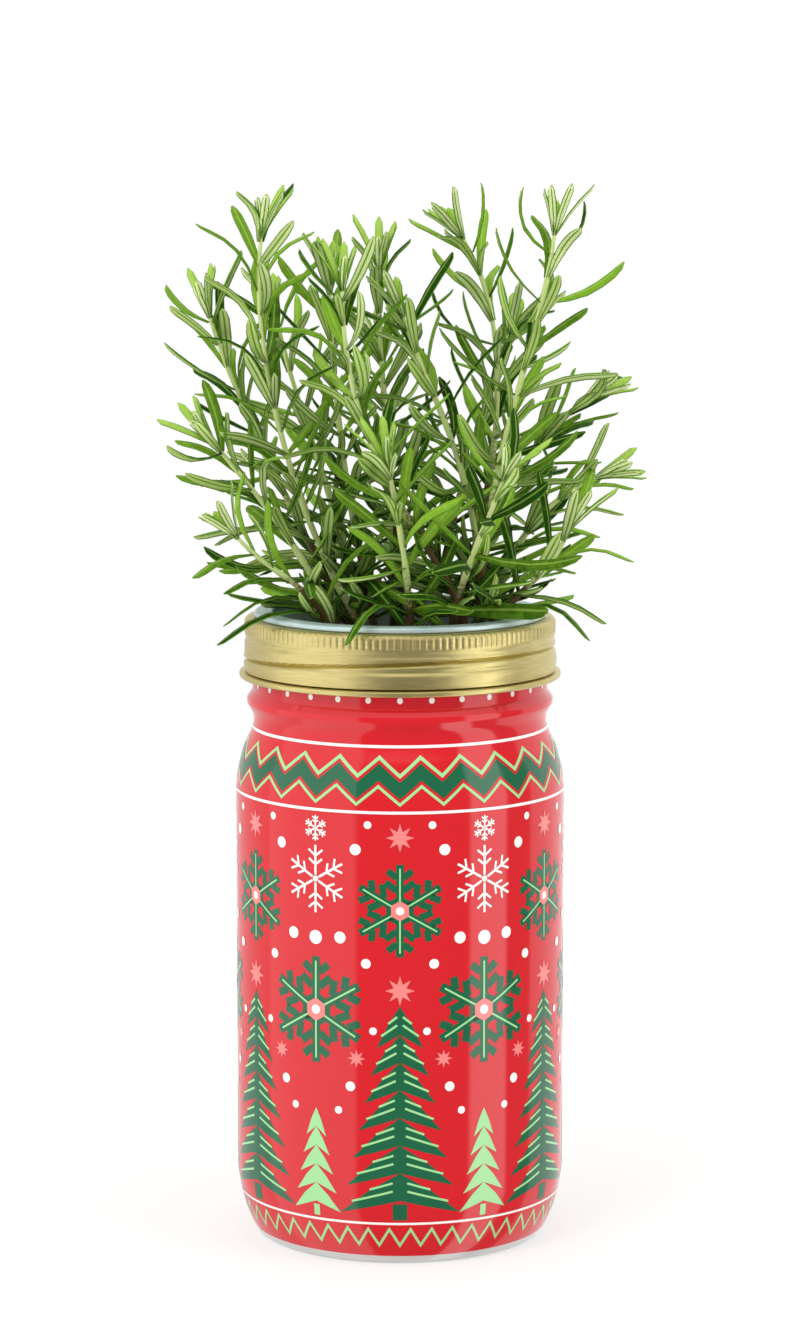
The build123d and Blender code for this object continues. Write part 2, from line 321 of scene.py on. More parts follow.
def lay_crystal(bm, middle, height, radius, stroke, barbs):
    """Six straight arms, each with pairs of barbs given as place and length."""
    centre = Vector((middle, height))
    for i in range(6):
        angle = math.tau * (i + 0.5) / 6
        arm = Vector((math.cos(angle), math.sin(angle)))
        lay_strip(bm, centre + arm * radius * 0.12, centre + arm * radius, stroke)
        for place, barb in barbs:
            for hand in (-1, 1):
                lean = angle + hand * barb_lean
                out = Vector((math.cos(lean), math.sin(lean)))
                root = centre + arm * radius * place + out * stroke * 0.55
                lay_strip(bm, root, root + out * radius * barb, stroke * 0.9)


def lay_chevron(bm, left, foot, stroke):
    """A roof-shaped stroke of the border, as wide as its share of the bay."""
    ridge = left + chevron_width / 2
    peak = foot + chevron_rise
    for end in (left, left + chevron_width):
        lay_face(bm, [(end, foot), (ridge, peak), (ridge, peak + stroke), (end, foot + stroke)])


def lay_dot(bm, middle, height, radius, corners=18):
    """A round dot, or a hexagon with six corners."""
    place = Matrix.Translation((middle, height, 0))
    bmesh.ops.create_circle(bm, cap_ends=True, segments=corners, radius=radius, matrix=place)


def wrap_on_film(bm, stand):
    """Cuts a bay of flat print into narrow facets, bends it round the film and repeats it in every bay."""
    bmesh.ops.triangulate(bm, faces=bm.faces[:])
    cuts = [((x, 0, 0), (1, 0, 0)) for x in np.arange(-bay, bay, facet_width)]
    heights = np.arange(film_bottom, film_top, facet_height)
    cuts += [((0, z, 0), (0, 1, 0)) for z in heights if not straight_low < z < straight_high]
    for point, normal in cuts:
        everything = bm.verts[:] + bm.edges[:] + bm.faces[:]
        bmesh.ops.bisect_plane(bm, geom=everything, plane_co=point, plane_no=normal)
    bm.normal_update()
    bmesh.ops.reverse_faces(bm, faces=[face for face in bm.faces if face.normal.z < 0])
    for vert in bm.verts:
        angle = vert.co.x / film_radius
        radius = np.interp(vert.co.y, film_heights, film_radii) + stand
        vert.co = (radius * math.sin(angle), -radius * math.cos(angle), vert.co.y)
    bm.normal_update()
    bmesh.ops.solidify(bm, geom=bm.faces[:], thickness=ink_thickness)
    copies = bays - 1
    bmesh.ops.spin(
        bm,
        geom=bm.verts[:] + bm.edges[:] + bm.faces[:],
        axis=(0, 0, 1),
        angle=math.tau * copies / bays,
        steps=copies,
        use_duplicate=True,
    )


green_print = bmesh.new()
lay_fir(green_print, *tall_fir)
for place, height, radius in crystals:
    lay_crystal(green_print, place * bay, height, radius, radius * 0.17, [(0.38, 0.3), (0.66, 0.24)])
    lay_dot(green_print, place * bay, height, radius * 0.34, corners=6)
for left in chevron_lefts:
    lay_chevron(green_print, left, border_low + 2.2, 4.6)
wrap_on_film(green_print, 0.05)
green_ink = printed_gloss("dark_green_ink", "0F5C3D", "12623F")
add_piece("print_green", green_print, [green_ink], "jar")

# Small firs, frost lines and the heel border in mint ink
# Mint gives the small firs between the tall ones, the frost lines on their boughs, the lines in the arms
# of the crystals, the zigzag round the heel and the lines over and under the chevrons.
small_fir = (bay / 2, 30, 15, 5)
heel_low = 5.5
heel_high = 10.5
heel_stroke = 1.4
heel_turns = 8
heel_step = bay / heel_turns
frost_lines = [(0.12, 0.8, 0.66), (0.12, 0.5, 0.36)]
frost_stroke = 0.6
mint_print = bmesh.new()
lay_fir(mint_print, *small_fir)
for crown, tip, notch, reach in fir_tiers(*tall_fir[1:]):
    for hand in (-1, 1):
        for low, high, drop in frost_lines:
            start = (hand * reach * low, crown + (notch - crown) * drop)
            end = (hand * reach * high, crown + (notch - crown) * drop + (tip - notch) * high)
            lay_strip(mint_print, start, end, frost_stroke)
for place, height, radius in crystals:
    lay_crystal(mint_print, place * bay, height, radius * 0.92, radius * 0.035, [])
for left in chevron_lefts:
    lay_chevron(mint_print, left, border_low + 7.8, 1.2)
    lay_chevron(mint_print, left, border_low + 0.2, 1.0)
for i in range(heel_turns):
    start = (i / heel_turns - 0.5) * bay
    ends = [(start, heel_low), (start + heel_step / 2, heel_high), (start + heel_step, heel_low)]
    for (left, left_height), (right, right_height) in zip(ends, ends[1:]):
        upper = [(right, right_height + heel_stroke), (left, left_height + heel_stroke)]
        lay_face(mint_print, [(left, left_height), (right, right_height), *upper])
wrap_on_film(mint_print, 0.08)
mint_ink = printed_gloss("mint_ink", "9BD792", "A0DA98")
add_piece("print_mint", mint_print, [mint_ink], "jar")

# Hearts and small stars in salmon ink
# Salmon fills the hearts of the crystals and gives the small stars on the tall firs and under the border.
small_stars = [(0, 79.5, 4.2), (0, 122.5, 4.0), (0.25, 60, 2.6), (-0.25, 60, 2.6)]
star_points = 8
star_waist = 0.45


def lay_star(bm, middle, height, radius):
    """A pointed star, drawn as a circle with every second corner pulled in."""
    centre = Vector((middle, height, 0))
    place = Matrix.Translation(centre)
    drawn = bmesh.ops.create_circle(bm, cap_ends=True, segments=2 * star_points, radius=radius, matrix=place)
    for vert in drawn["verts"][1::2]:
        vert.co = centre.lerp(vert.co, star_waist)


salmon_print = bmesh.new()
for place, height, radius in small_stars:
    lay_star(salmon_print, place * bay, height, radius)
for place, height, radius in crystals:
    lay_dot(salmon_print, place * bay, height, radius * 0.22, corners=6)
wrap_on_film(salmon_print, 0.095)
salmon_ink = printed_gloss("salmon_ink", "EE7F7C", "F08683")
add_piece("print_salmon", salmon_print, [salmon_ink], "jar")

# Snowflakes, snow and lines in white ink
# Fine snowflakes of two sizes, snow dots, the middles of the crystals and the lines of both borders.
flakes = [(0.5, 110, 9.5), (0.5, 124.3, 3.6)]
snow = [
    (14, 52, 1.4),
    (9.5, 87, 1.4),
    (17, 94, 1.7),
    (12.5, 119, 1.6),
    (17.5, 45, 1.1),
    (7.5, 68, 1.1),
    (9, 126, 1.1),
]
big_snow = (0.5, 93.5, 2.0)
white_lines = [(12.9, 0.7), (border_low - 1.5, 0.8), (border_high + 1.2, 0.8)]
neck_dots_per_bay = 5
neck_dot_height = 160
neck_dot_radius = 0.9
white_print = bmesh.new()
for place, height, radius in flakes:
    lay_crystal(white_print, place * bay, height, radius, 0.035 * radius + 0.35, [(0.42, 0.24), (0.68, 0.26)])
    lay_dot(white_print, place * bay, height, radius * 0.1, corners=6)
for shift, height, radius in snow:
    for hand in (-1, 1):
        lay_dot(white_print, hand * shift, height, radius, corners=14)
lay_dot(white_print, big_snow[0] * bay, *big_snow[1:])
for place, height, radius in crystals:
    lay_dot(white_print, place * bay, height, radius * 0.09, corners=12)
for i in range(neck_dots_per_bay):
    place = i / neck_dots_per_bay - 0.4
    lay_dot(white_print, place * bay, neck_dot_height, neck_dot_radius, corners=12)
for height, width in white_lines:
    lay_strip(white_print, (-bay / 2, height), (bay / 2, height), width)
wrap_on_film(white_print, 0.11)
white_ink = printed_gloss("white_ink", "F4EFEA", "F7F3EE")
add_piece("print_white", white_print, [white_ink], "jar")

# Screw band
# Tinplate with a brushed gold lacquer, rolled into a band with a curled foot. A row of fine notches runs
# under its shoulder, and a thread groove is rolled into its wall. It screws onto the neck of the jar.
band_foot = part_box("screw_band")[0].z / metre
band_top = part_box("screw_band")[1].z / metre
band_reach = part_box("screw_band")[1].x / metre
band_radius = 44.3
lip_radius = 38.6
band_inner = 42.8
notch_count = 143
notch_steps = 6
notch_depth = 0.3
notch_foot = 174.0
groove_height = 168.45
groove_slope = 2.62
groove_turn = math.radians(41.9)
groove_depth = 1.2
groove_above = 0.2
groove_below = 0.8
valley_height = 168.0
valley_depth = 0.4
valley_width = 0.6
waist_height = 172.6
waist_depth = 0.4
waist_width = 0.9
wall_foot = band_foot + 2.1
swell_height = 5.5
swell_depth = 0.35
wall_cuts = 66
band_line = [
    (lip_radius, band_top - 0.4),
    (lip_radius, band_top),
    (band_radius, band_top),
    (band_radius, wall_foot),
    (band_radius - 0.7, band_foot + 1.9),
    (band_radius + 0.4, band_foot + 1.7),
    (band_reach, band_foot + 1.6),
    (band_reach, band_foot),
    (band_radius, band_foot),
    (band_inner, band_foot + 0.8),
    (band_inner, band_top - 0.4),
]
band_rounds = {2: 1.6, 6: 0.5, 7: 0.75, 8: 0.6}
band = line_of(band_line, band_rounds, closed=True)
outer = [edge for edge in band.edges if edge.verts[0].co.x > band_radius - 0.1]
wall = [edge for edge in outer if edge.calc_length() > 12]
bmesh.ops.subdivide_edges(band, edges=wall, cuts=wall_cuts)
turn_about_axis(band, notch_count * notch_steps)


def smooth_step(value, low, high):
    """Rises smoothly from 0 to 1 between two values."""
    share = min(max((value - low) / (high - low), 0), 1)
    return share * share * (3 - 2 * share)


for vert in band.verts:
    radius = math.hypot(vert.co.x, vert.co.y)
    height = vert.co.z
    if radius < band_radius - 1.4 or height < wall_foot - 0.05:
        continue
    angle = math.atan2(vert.co.x, -vert.co.y)
    phase = angle / math.tau * notch_count
    notch = max(0, 1 - abs(phase - round(phase)) * notch_steps * 0.9)
    notch *= smooth_step(height, notch_foot, notch_foot + 0.8) * smooth_step(band_top - height, 0.05, 0.5)
    above = height - groove_height - groove_slope * math.cos(angle - groove_turn)
    groove = math.exp(-((above / (groove_above if above > 0 else groove_below)) ** 2))
    shown = smooth_step(angle, -0.8, -0.3) * smooth_step(-angle, -1.3, -0.8)
    valley = math.exp(-(((height - valley_height) / valley_width) ** 2)) * shown
    waist = math.exp(-(((height - waist_height) / waist_width) ** 2))
    swell = math.sin(math.pi * min(max((height - wall_foot) / swell_height, 0), 1)) ** 2
    depth = notch_depth * notch + groove_depth * groove
    depth += valley_depth * valley + waist_depth * waist - swell_depth * swell
    vert.co.xy *= 1 - depth / radius
grain_map = band.loops.layers.uv.new("grain")
for face in band.faces:
    middle = face.calc_center_median()
    middle_angle = math.atan2(middle.x, -middle.y)
    for loop in face.loops:
        angle = math.atan2(loop.vert.co.x, -loop.vert.co.y)
        angle = middle_angle + math.remainder(angle - middle_angle, math.tau)
        run = loop.vert.co.z - math.hypot(loop.vert.co.x, loop.vert.co.y)
        loop[grain_map].uv = (angle * band_radius, run)

# Brushed gold lacquer: a satin metal with fine slanted scratches that break up its highlights.
# The scratches are drawn about three times as coarse as real ones, so that they show.
gold_lacquer, gold_shader = new_finish("brushed_gold_lacquer", {"Metallic": 1.0, "Anisotropic": 0.35})
scratch_length = 7.0
scratch_width = 0.16
scratch_slant = math.radians(-38)
cloud_width = 8.33
gold_grain = node(gold_lacquer, "ShaderNodeUVMap", {}, uv_map="grain")
gold_slant = node(
    gold_lacquer,
    "ShaderNodeMapping",
    {
        "Vector": gold_grain.outputs[0],
        "Rotation": (0, 0, scratch_slant),
        "Scale": (1 / scratch_length, 1 / scratch_width, 1),
    },
)
gold_scratch = node(
    gold_lacquer,
    "ShaderNodeTexNoise",
    {"Vector": gold_slant.outputs[0], "Scale": 1.0, "Detail": 2.0, "Roughness": 0.6},
)
gold_cloud = node(
    gold_lacquer,
    "ShaderNodeTexNoise",
    {"Vector": gold_grain.outputs[0], "Scale": 1 / cloud_width, "Detail": 2.0},
)
gold_tone = node(
    gold_lacquer,
    "ShaderNodeMix",
    {0: gold_scratch.outputs[0], 6: colour("A18E3E"), 7: colour("EFE1A6")},
    data_type="RGBA",
)
gold_rough = node(
    gold_lacquer,
    "ShaderNodeMapRange",
    {"Value": gold_cloud.outputs[0], "From Min": 0.3, "From Max": 0.7, "To Min": 0.29, "To Max": 0.37},
)
gold_bump = node(
    gold_lacquer,
    "ShaderNodeBump",
    {"Height": gold_scratch.outputs[0], "Strength": 0.9, "Distance": 0.06 * metre},
)
gold_lacquer.node_tree.links.new(gold_tone.outputs[2], gold_shader.inputs["Base Color"])
gold_lacquer.node_tree.links.new(gold_rough.outputs[0], gold_shader.inputs["Roughness"])
gold_lacquer.node_tree.links.new(gold_bump.outputs[0], gold_shader.inputs["Normal"])
add_piece("screw_band_rolled", band, [gold_lacquer], "band", ["screw_band"])

# Net cup
# A cup pressed from thin steel with a pale satin coat. Its rim has fine rolled lines and rests on the
# band, its wall has tall slots for the roots, and its floor is pierced and slit for the wick.
cup_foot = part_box("net_cup")[0].z / metre
cup_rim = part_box("net_cup")[1].z / metre
flange_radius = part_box("net_cup")[1].x / metre
flange_under = cup_rim - 1.6
cup_top_radius = 37.0
cup_foot_radius = 32.0
cup_sheet = 0.8
slot_count = 18
slot_columns = 10
slot_open_columns = 3
slot_low = cup_foot + 9.2
slot_high = cup_foot + 32.8
slot_end = 1.2
hole_count = 12
hole_circle = 20
hole_radius = 1.9
slit_length = 16.5
slit_width = 3.1
rim_inner = 36.2
rolled_line = 0.18
rim_line = [
    (rim_inner, cup_rim - 0.45),
    (36.6, cup_rim),
    (37.9, cup_rim),
    (38.1, cup_rim - rolled_line),
    (38.3, cup_rim),
    (39.9, cup_rim),
    (40.1, cup_rim - rolled_line),
    (40.3, cup_rim),
    (flange_radius, cup_rim),
    (flange_radius, flange_under),
    (cup_top_radius, flange_under),
    (rim_inner, flange_under - 1),
]
cup = line_of(rim_line, {1: 0.3, 8: 0.7, 9: 0.5}, closed=True)
turn_about_axis(cup, slot_count * slot_columns)
cup_wall = bmesh.new()
wall_heights = [cup_foot, slot_low, *np.linspace(slot_low, slot_high, 7)[1:-1], slot_high, flange_under - 0.9]
lean = (cup_top_radius - cup_foot_radius) / (flange_under - cup_foot)
wall_line = [(cup_foot_radius + lean * (z - cup_foot), 0, z) for z in wall_heights]
wall_verts = [cup_wall.verts.new(point) for point in wall_line]
for lower, upper in zip(wall_verts, wall_verts[1:]):
    cup_wall.edges.new((lower, upper))
turn_about_axis(cup_wall, slot_count * slot_columns)
column_angle = math.tau / (slot_count * slot_columns)
open_faces = []
for face in cup_wall.faces:
    middle = face.calc_center_median()
    column = int((math.atan2(middle.y, middle.x) % math.tau) / column_angle)
    if column % slot_columns < slot_open_columns and slot_low < middle.z < slot_high:
        open_faces.append(face)
bmesh.ops.delete(cup_wall, geom=open_faces, context="FACES")
for vert in cup_wall.verts:
    column = round((math.atan2(vert.co.y, vert.co.x) % math.tau) / column_angle) % slot_columns
    if column in (1, 2):
        for end, way in ((slot_low, -1), (slot_high, 1)):
            if abs(vert.co.z - end) < 0.01:
                vert.co.z += way * slot_end
cup_floor = bmesh.new()
rings = [(0, 0, cup_foot_radius, slot_count * slot_columns)]
for i in range(hole_count):
    angle = math.tau * i / hole_count
    rings.append((hole_circle * math.cos(angle), hole_circle * math.sin(angle), hole_radius, 16))
for x, y, radius, corners in rings:
    place = Matrix.Translation((x, y, cup_foot))
    bmesh.ops.create_circle(cup_floor, segments=corners, radius=radius, matrix=place)
slit_ends = [(-0.5, -0.5), (0.5, -0.5), (0.5, 0.5), (-0.5, 0.5)]
slit = [cup_floor.verts.new((x * slit_length, y * slit_width, cup_foot)) for x, y in slit_ends]
for start, end in zip(slit, slit[1:] + slit[:1]):
    cup_floor.edges.new((start, end))
bmesh.ops.triangle_fill(cup_floor, use_beauty=True, edges=cup_floor.edges[:], normal=(0, 0, -1))
for part in (cup_wall, cup_floor):
    sheet_mesh = bpy.data.meshes.new("cup_sheet")
    part.normal_update()
    bmesh.ops.solidify(part, geom=part.faces[:], thickness=cup_sheet)
    part.to_mesh(sheet_mesh)
    part.free()
    cup.from_mesh(sheet_mesh)
    bpy.data.meshes.remove(sheet_mesh)

# Satin coat on steel: a pale blue-white with a soft sheen and faint lines left by the spinning tool.
# The lines are drawn about six times as coarse as real ones, so that they show.
satin_coat, satin_shader = new_finish("satin_coated_steel", {"Metallic": 0.35, "Roughness": 0.33})
spin_line_gap = 4.2 * metre
wave_length = math.tau / 20          # of a wave texture at a scale of 1
satin_cloud_width = 11.1 * metre
satin_place = node(satin_coat, "ShaderNodeTexCoord", {})
satin_lines = node(
    satin_coat,
    "ShaderNodeTexWave",
    {"Vector": satin_place.outputs["Object"], "Scale": wave_length / spin_line_gap, "Distortion": 0.4},
    wave_type="RINGS",
    rings_direction="Z",
)
satin_cloud = node(
    satin_coat,
    "ShaderNodeTexNoise",
    {"Vector": satin_place.outputs["Object"], "Scale": 1 / satin_cloud_width, "Detail": 3.0},
)
satin_tone = node(
    satin_coat,
    "ShaderNodeMix",
    {0: satin_cloud.outputs[0], 6: colour("B4CDD0"), 7: colour("CFDFE2")},
    data_type="RGBA",
)
satin_bump = node(
    satin_coat,
    "ShaderNodeBump",
    {"Height": satin_lines.outputs[0], "Strength": 0.2, "Distance": 0.08 * metre},
)
satin_coat.node_tree.links.new(satin_tone.outputs[2], satin_shader.inputs["Base Color"])
satin_coat.node_tree.links.new(satin_bump.outputs[0], satin_shader.inputs["Normal"])
add_piece("net_cup_pressed", cup, [satin_coat], "grow_cup", ["net_cup"])

# Felt wick
# A strip of thick felt, cut from a sheet. It is held in the medium, passes the slit in the cup's floor
# and hangs into the water, with a slight wave from being wet.
wick_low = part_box("felt_wick")[0] / metre
wick_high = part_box("felt_wick")[1] / metre
wick_wave = 0.9
wick_bmesh = bmesh.new()
wick_size = (wick_high - wick_low) / 2
wick_middle = (wick_high + wick_low) / 2
wick_grid = bmesh.ops.create_grid(wick_bmesh, x_segments=8, y_segments=68, size=1)
for vert in wick_grid["verts"]:
    across, up = vert.co.x, vert.co.y
    hang = smooth_step(-up, -0.5, 1)
    wave = wick_wave * hang * math.sin(4.2 * up + 0.7 * across)
    vert.co = (wick_middle.x + across * wick_size.x, wave, wick_middle.z + up * wick_size.z)
wick_bmesh.normal_update()
bmesh.ops.translate(wick_bmesh, vec=(0, -wick_size.y, 0), verts=wick_bmesh.verts[:])
bmesh.ops.solidify(wick_bmesh, geom=wick_bmesh.faces[:], thickness=2 * wick_size.y)

# Wool felt: matted fibres with no shine, off-white with darker hairs
wool_felt, felt_shader = new_finish(
    "wool_felt",
    {"Roughness": 0.95, "Sheen Weight": 0.3, "Sheen Roughness": 0.6},
)
felt_place = node(wool_felt, "ShaderNodeTexCoord", {})
felt_fibre_width = 0.5 * metre
felt_fibre = node(
    wool_felt,
    "ShaderNodeTexNoise",
    {"Vector": felt_place.outputs["Object"], "Scale": 1 / felt_fibre_width, "Detail": 4.0, "Distortion": 1.5},
)
felt_tone = node(
    wool_felt,
    "ShaderNodeMix",
    {0: felt_fibre.outputs[0], 6: colour("B9B4A6"), 7: colour("E2DFD4")},
    data_type="RGBA",
)
felt_bump = node(
    wool_felt,
    "ShaderNodeBump",
    {"Height": felt_fibre.outputs[0], "Strength": 0.7, "Distance": 0.3 * metre},
)
wool_felt.node_tree.links.new(felt_tone.outputs[2], felt_shader.inputs["Base Color"])
wool_felt.node_tree.links.new(felt_bump.outputs[0], felt_shader.inputs["Normal"])
wick = add_piece("felt_wick_strip", wick_bmesh, [wool_felt], "grow_cup", ["felt_wick"])

# Growing medium
# A plug of dark damp coir that fills the cup. Its top is uneven, with crumbs lying loose on it.
plug_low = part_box("grow_medium")[0].z / metre
soil_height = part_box("grow_medium")[1].z / metre
plug_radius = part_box("grow_medium")[1].x / metre - 0.4
plug_foot = 30.6
soil_face = soil_height - 0.7
lump_scale = 0.16
grit_scale = 0.5
lump_height = 0.9
crumb_count = 190
shoulder = Vector((plug_radius, soil_height - 2.4))
heel = Vector((plug_foot, plug_low))
plug_line = [(radius, soil_face) for radius in np.linspace(0, plug_radius - 1.5, 24)]
plug_line += [shoulder.lerp(heel, share) for share in (0, 0.25, 0.5, 0.75, 1)]
plug_line += [(0, plug_low)]
plug = line_of(plug_line, {})
turn_about_axis(plug, 112)
for vert in plug.verts:
    if vert.co.z > soil_height - 1:
        lump = noise.noise(vert.co * lump_scale) + 0.6 * noise.noise(vert.co * grit_scale + Vector((7, 0, 0)))
        vert.co.z += lump_height * lump - 0.4
crumb_draw = random.Random(11)
for i in range(crumb_count):
    angle = crumb_draw.uniform(0, math.tau)
    reach = (plug_radius - 3) * math.sqrt(crumb_draw.random())
    spot = Vector((reach * math.cos(angle), reach * math.sin(angle), soil_face))
    turn = Matrix.Rotation(crumb_draw.uniform(0, math.tau), 4, "X") @ Matrix.Rotation(angle, 4, "Z")
    size = Matrix.Diagonal((crumb_draw.uniform(0.5, 1.6), crumb_draw.uniform(0.4, 0.9), 0.5, 1))
    bmesh.ops.create_icosphere(plug, subdivisions=1, radius=1, matrix=Matrix.Translation(spot) @ turn @ size)

# Damp coir: almost black, with reddish brown fibre showing in specks
damp_coir, coir_shader = new_finish("damp_coir", {"Roughness": 0.9})
coir_place = node(damp_coir, "ShaderNodeTexCoord", {})
coir_fibre_width = 1.1 * metre
coir_fibre = node(
    damp_coir,
    "ShaderNodeTexNoise",
    {"Vector": coir_place.outputs["Object"], "Scale": 1 / coir_fibre_width, "Detail": 5.0, "Distortion": 2.0},
)
coir_speck = node(
    damp_coir,
    "ShaderNodeMapRange",
    {"Value": coir_fibre.outputs[0], "From Min": 0.52, "From Max": 0.72},
)
coir_tone = node(
    damp_coir,
    "ShaderNodeMix",
    {0: coir_speck.outputs[0], 6: colour("120E08"), 7: colour("5A3418")},
    data_type="RGBA",
)
coir_bump = node(
    damp_coir,
    "ShaderNodeBump",
    {"Height": coir_fibre.outputs[0], "Strength": 1.0, "Distance": 0.8 * metre},
)
damp_coir.node_tree.links.new(coir_tone.outputs[2], coir_shader.inputs["Base Color"])
damp_coir.node_tree.links.new(coir_bump.outputs[0], coir_shader.inputs["Normal"])
add_piece("coir_plug", plug, [damp_coir], "grow_cup", ["grow_medium"])

# Rosemary
# Eighteen rooted shoots. Each is a stem, woody and brown below and green above, with crossed pairs of
# leathery needles, small tufts in their axils and a pale young tip.
shoots = [
    ((-9, 1), (-26, 2, 26), (-43, -3, 75), (-39, -3, 114)),
    ((-13, 7), (-27, 8, 30), (-44, 8, 60), (-54, 8, 91)),
    ((-16, -7), (-24, -9, 22), (-39, -13, 42), (-52, -15, 57)),
    ((19, -12), (19, -15, 24), (-16, -22, 44), (-16, -20, 100)),
    ((-7, 11), (-12, 12, 24), (-20, 13, 64), (-20, 13, 100)),
    ((22, 0), (26, 0, 44), (8, -5, 69), (1, -6, 92)),
    ((14, 11), (26, 13, 34), (36, 14, 84), (18, 12, 113)),
    ((22, -7), (22, -9, 49), (40, -12, 86), (43, -10, 115)),
    ((25, -15), (29, -17, 17), (41, -21, 17), (47, -23, 34)),
    ((17, 20), (22, 23, 36), (37, 25, 52), (53, 25, 66)),
    ((26, 7), (29, 8, 27), (42, 11, 39), (56, 12, 45)),
    ((0, 17), (0, 19, 36), (-7, 22, 74), (-6, 20, 104)),
    ((3, -22), (3, -26, 20), (0, -33, 34), (-3, -37, 52)),
    ((-12, 20), (-16, 26, 36), (-31, 36, 62), (-36, 39, 90)),
    ((10, 25), (14, 31, 36), (26, 41, 62), (32, 44, 84)),
    ((-2, 27), (-2, 35, 30), (-5, 47, 54), (-5, 52, 76)),
    ((-18, -16), (-22, -20, 18), (-35, -24, 20), (-45, -28, 32)),
    ((14, -22), (16, -26, 22), (23, -40, 34), (28, -48, 50)),
]
low_leaves = [
    (8, 9, (53, -25, 3), 0.28, 0.9, 0),
    (12, 10, (-15, -50, 5), 0.24, 0.8, 0),
    (2, 10, (-50, -9, 5), 0.22, 0.8, 0),
    (17, 12, (41, -33, 12.5), 0.04, 1.6, 50),
    (12, 12, (20, -38, 13), 0.1, 1.2, 35),
]
root_radius = 1.15
tip_radius = 0.6
root_depth = 6
stem_sides = 8
stem_rings = 28
bare_height = 5
node_gap_low = 6.6
node_gap_tip = 6.8
leaf_length_low = 31
leaf_length_tip = 21
leaf_length_vary = 4
leaf_lean_low = 74
leaf_lean_tip = 36
leaf_lean_vary = 12
leaf_roll_vary = 38
leaf_bend_vary = 0.11
leaf_arch = 0.12
leaf_arch_vary = 0.1
leaf_width = 3.2
leaf_thickness = 0.34
leaf_tries = [(0, 1), (-14, 0.95), (0, 0.75), (-28, 0.85), (-42, 0.7)]
tuft_share = 0.22
tuft_width = 0.75
tuft_paler = 0.3
tip_leaves = 6
tip_tone = 0.95
low_tone = 0.1
bark_low = 0.1
bark_vary = 0.45
golden_share = 0.618
twist_per_node = 97
twist_per_shoot = 40
rim_room = 1.4
plant_reach = 67


def shoot_at(shoot, t):
    """Point and direction of growth at the share t of a shoot's curve."""
    (root_x, root_y), *bends = shoot
    a = Vector((root_x, root_y, soil_height))
    b, c, d = (Vector((x, y, soil_height + rise)) for x, y, rise in bends)
    s = 1 - t
    point = a * s**3 + b * (3 * s * s * t) + c * (3 * s * t * t) + d * t**3
    heading = (b - a) * (s * s) + (c - b) * (2 * s * t) + (d - c) * (t * t)
    return point, heading.normalized()


def leaf_pattern(name, along_steps, across_steps):
    """A leaf laid out flat: a grid given an underside, with its map of length and width."""
    bm = bmesh.new()
    bmesh.ops.create_grid(bm, x_segments=along_steps, y_segments=across_steps, size=1)
    bmesh.ops.solidify(bm, geom=bm.faces[:], thickness=1)
    bm.normal_update()
    blade_map = bm.loops.layers.uv.new("blade")
    for face in bm.faces:
        face.smooth = True
        face.material_index = 0 if face.normal.z > 0.5 else 1
        for loop in face.loops:
            loop[blade_map].uv = ((loop.vert.co.x + 1) / 2, (loop.vert.co.y + 1) / 2)
    mesh = bpy.data.meshes.new(name)
    bm.to_mesh(mesh)
    bm.free()
    return mesh


needle = leaf_pattern("needle", 6, 4)
tuft_needle = leaf_pattern("tuft_needle", 4, 2)


def add_leaf(bm, pattern, base, heading, lift, length, width, arch, tone, bend=0):
    """Bends a copy of a leaf pattern to its place: a grooved top, rolled margins and a round tip."""
    tones = bm.verts.layers.float["tone"]
    first = len(bm.verts)
    bm.from_mesh(pattern)
    bm.verts.ensure_lookup_table()
    across = lift.cross(heading)
    for vert in bm.verts[first:]:
        share = 1 - ((1 - vert.co.x) / 2) ** 1.6
        side = vert.co.y
        under = vert.co.z
        waist = 0.4 + 0.6 * min(share / 0.45, 1) ** 0.8
        tip = max((share - 0.8) / 0.2, 0)
        half = width / 2 * waist * max(1 - tip * tip, 0.03) ** 0.5
        fold = -0.55 * side * side - 0.3 * (1 - abs(side)) ** 2
        arched = arch * math.sin(math.pi * share) * length
        rise = arched + fold * half + under * leaf_thickness * (0.5 + half / width)
        sway = side * half + bend * share * share * length
        vert.co = base + heading * (share * length) + lift * rise + across * sway
        vert[tones] = tone


def has_room(base, heading, lift, length, arch):
    """Whether a leaf passes over the soil and the rim of the cup, and ends within the plant's reach."""
    tip = base + heading * length
    if max(abs(tip.x), abs(tip.y)) > plant_reach or tip.z > cad_box[1].z / metre:
        return False
    for i in range(9):
        share = i / 8
        point = base + (heading * share + lift * (arch * math.sin(math.pi * share))) * length
        reach = math.hypot(point.x, point.y)
        floor = soil_height if reach < plug_radius - 4 else cup_rim
        if reach < band_reach + 2 and point.z < floor + rim_room:
            return False
    return True


